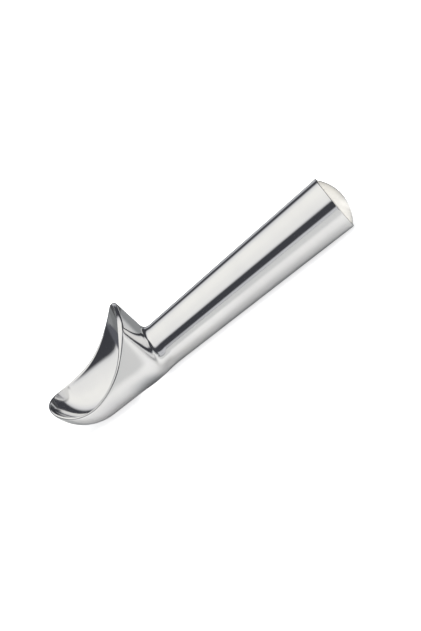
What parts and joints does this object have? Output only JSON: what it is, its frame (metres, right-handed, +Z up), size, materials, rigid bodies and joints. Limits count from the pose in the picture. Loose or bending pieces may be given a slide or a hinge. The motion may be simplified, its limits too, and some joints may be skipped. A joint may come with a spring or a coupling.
{
  "type": "ice cream scoop",
  "caption": "One-piece cast-aluminium ice cream scoop with a deep open bowl, a tapered fluid-filled handle and a domed plastic end cap.",
  "frame": {"origin": "bottom centre of the bounding box: on the table, half-way along the overall length, on the middle plane", "axes": "+X from the bowl's tip to the capped end of the handle, +Y across, +Z up out of the bowl's mouth"},
  "size_m": [0.193, 0.05, 0.0452],
  "materials": {
    "cast_metal": "polished to a soft mirror",
    "fluid": null,
    "plug_plastic": "plain moulded",
    "ring_rubber": "black nitrile",
    "cap_plastic": "ivory, glossy"
  },
  "bodies": {
    "root": {"scoop_casting": "cast_metal", "heat_fluid": "fluid", "chamber_plug": "plug_plastic", "plug_o_ring": "ring_rubber", "end_cap": "cap_plastic"}
  },
  "joints": []
}
